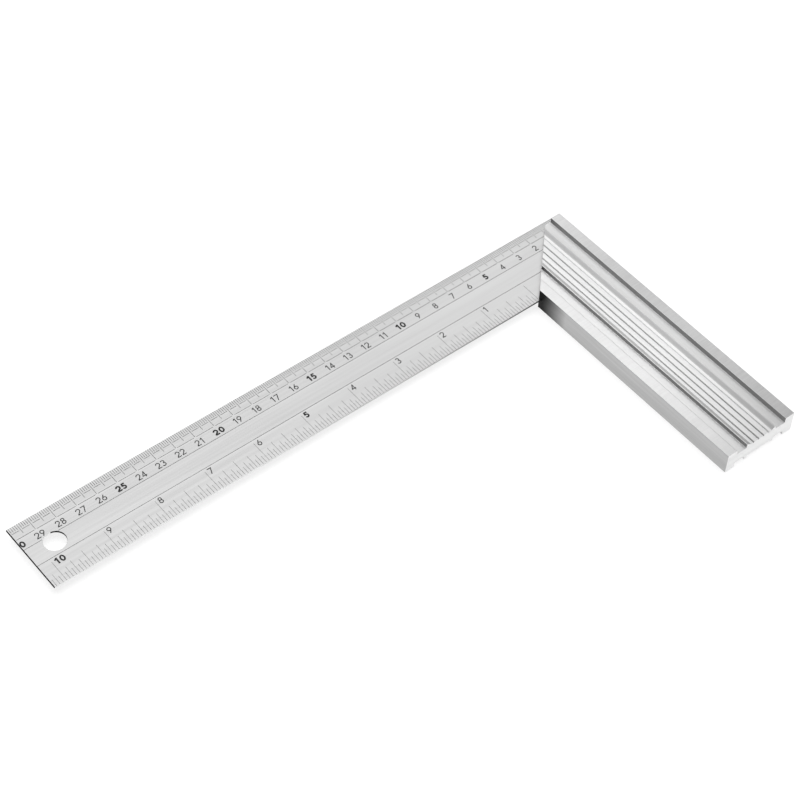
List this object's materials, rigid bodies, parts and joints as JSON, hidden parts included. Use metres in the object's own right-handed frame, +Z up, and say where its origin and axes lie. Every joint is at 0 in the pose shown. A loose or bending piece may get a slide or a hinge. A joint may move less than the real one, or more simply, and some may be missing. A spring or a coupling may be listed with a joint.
{
  "type": "try and mitre square",
  "caption": "Fixed try and mitre square: a flat ruled steel blade set at a right angle in a grooved aluminium stock whose inner corner is cut to a mitre.",
  "frame": {"origin": "middle of the bounding box's bottom face, on the plane of the stock's lower rails", "axes": "+X along the blade to its free end, +Y along the stock away from the blade's rule edge, +Z up with the ruled face on top"},
  "size_m": [0.3004, 0.156, 0.011],
  "materials": {
    "stock_aluminium": "satin, drawn lengthwise, with fine cross brushing on the rails",
    "blade_steel": "matt satin",
    "rivet_alloy": "plain, pressed",
    "scale_marks": "matt black etched lines and numerals"
  },
  "bodies": {
    "root": {"stock": "stock_aluminium", "blade": "blade_steel", "rivet_1": "rivet_alloy", "rivet_2": "rivet_alloy", "rivet_3": "rivet_alloy"}
  },
  "joints": []
}
